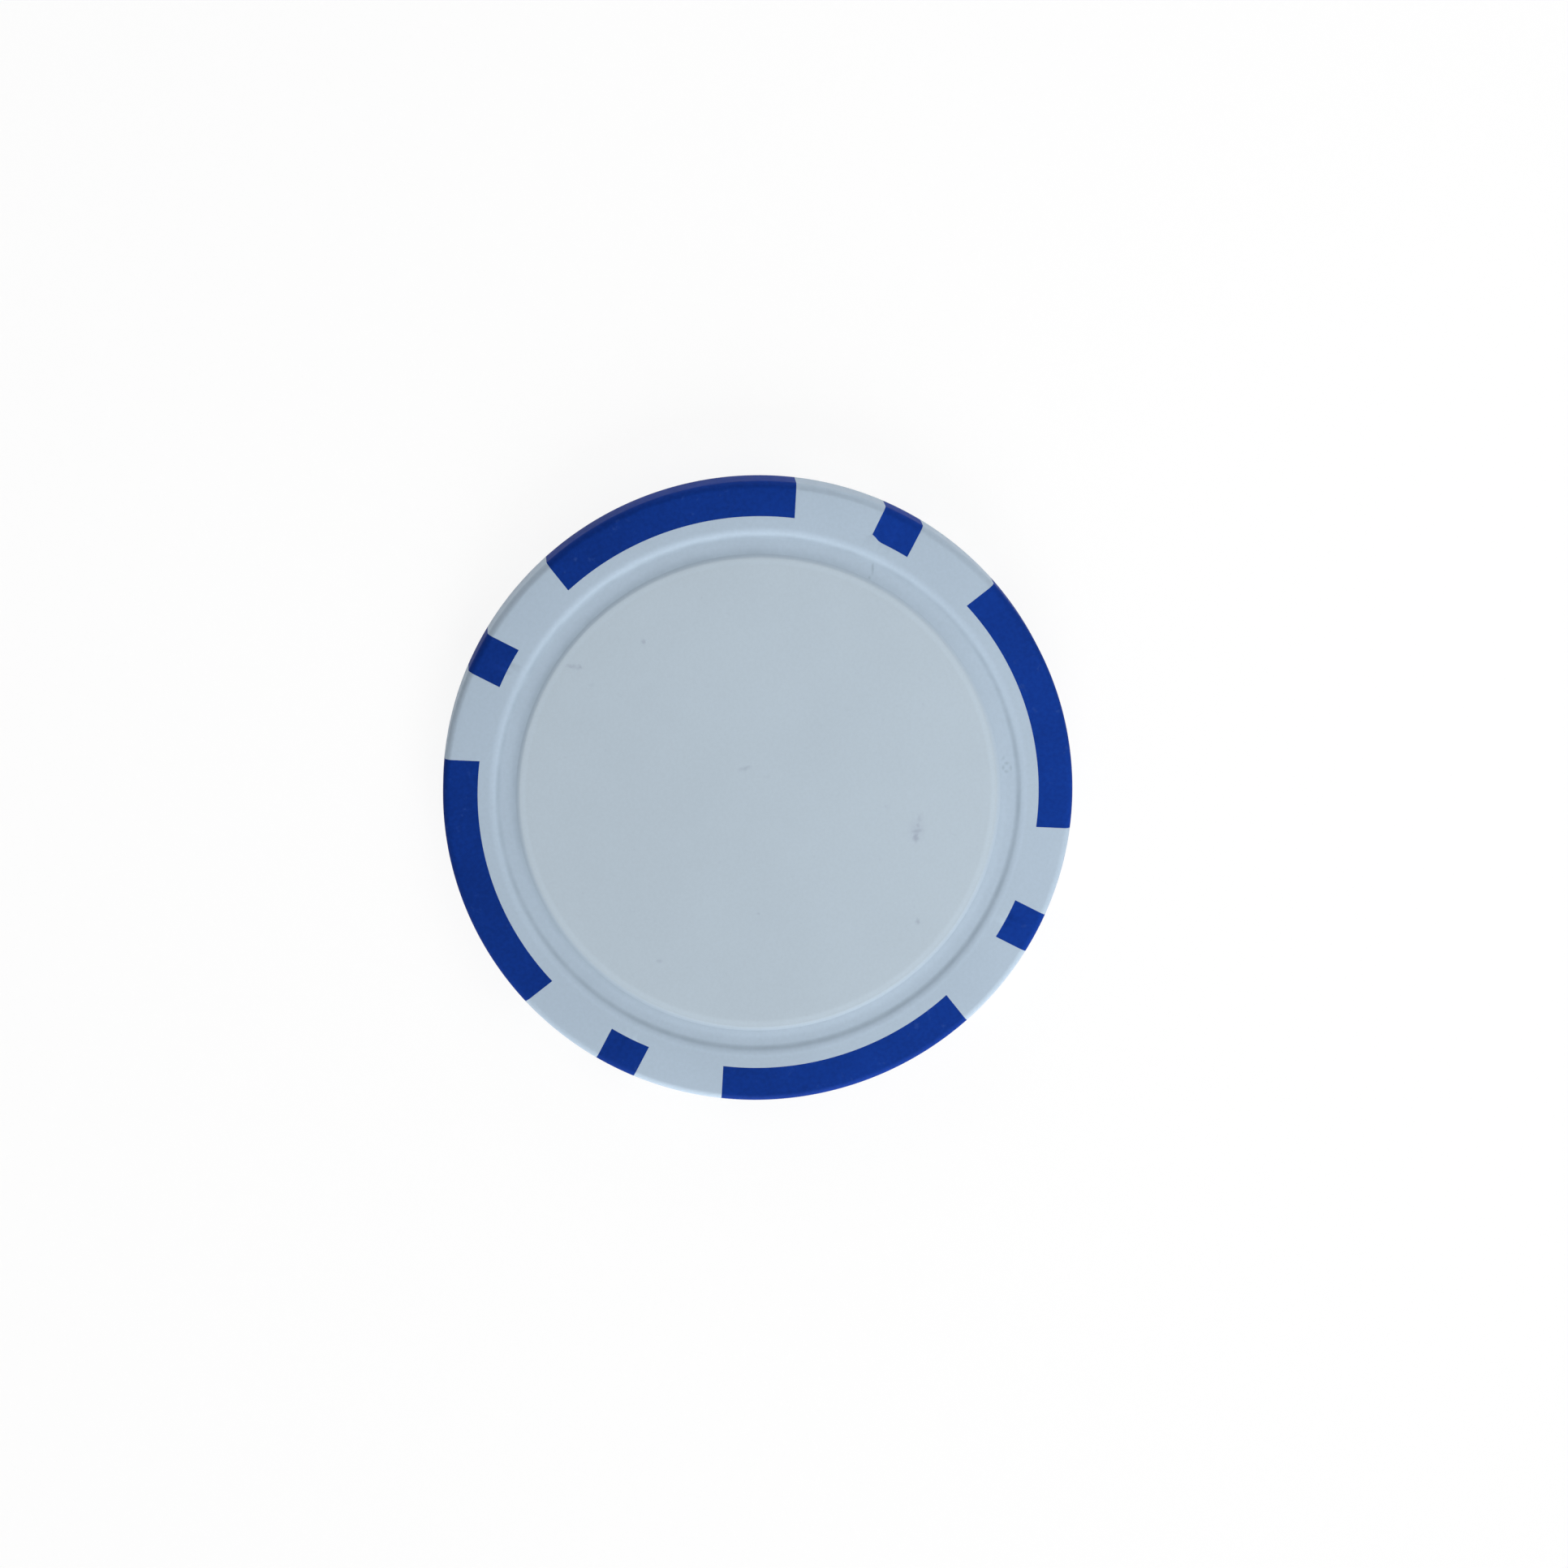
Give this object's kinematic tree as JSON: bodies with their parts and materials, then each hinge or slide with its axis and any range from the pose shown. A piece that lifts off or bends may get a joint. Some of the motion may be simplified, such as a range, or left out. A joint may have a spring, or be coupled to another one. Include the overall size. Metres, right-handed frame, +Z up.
{
  "type": "poker chip",
  "caption": "Round weighted poker chip: pale moulded body with blue stripes let into its edge, a blank raised inlay on each face and a steel slug sealed inside.",
  "frame": {"origin": "middle of the lower face, in the plane of its rim, where the chip rests", "axes": "+Z up through both faces, +X through the middle of a long stripe"},
  "size_m": [0.039, 0.039, 0.0033],
  "materials": {
    "body_plastic": "satin moulded plastic, pale blue-white",
    "stripe_plastic": "satin moulded plastic, deep blue",
    "inlay_plastic": "matt blank disc, a slightly warmer white",
    "slug_steel": "bare stamped steel"
  },
  "bodies": {
    "root": {"chip_body": "body_plastic", "weight_slug": "slug_steel", "front_inlay": "inlay_plastic", "back_inlay": "inlay_plastic", "long_stripe_1": "stripe_plastic", "long_stripe_2": "stripe_plastic", "long_stripe_3": "stripe_plastic", "long_stripe_4": "stripe_plastic", "short_stripe_1": "stripe_plastic", "short_stripe_2": "stripe_plastic", "short_stripe_3": "stripe_plastic", "short_stripe_4": "stripe_plastic"}
  },
  "joints": []
}
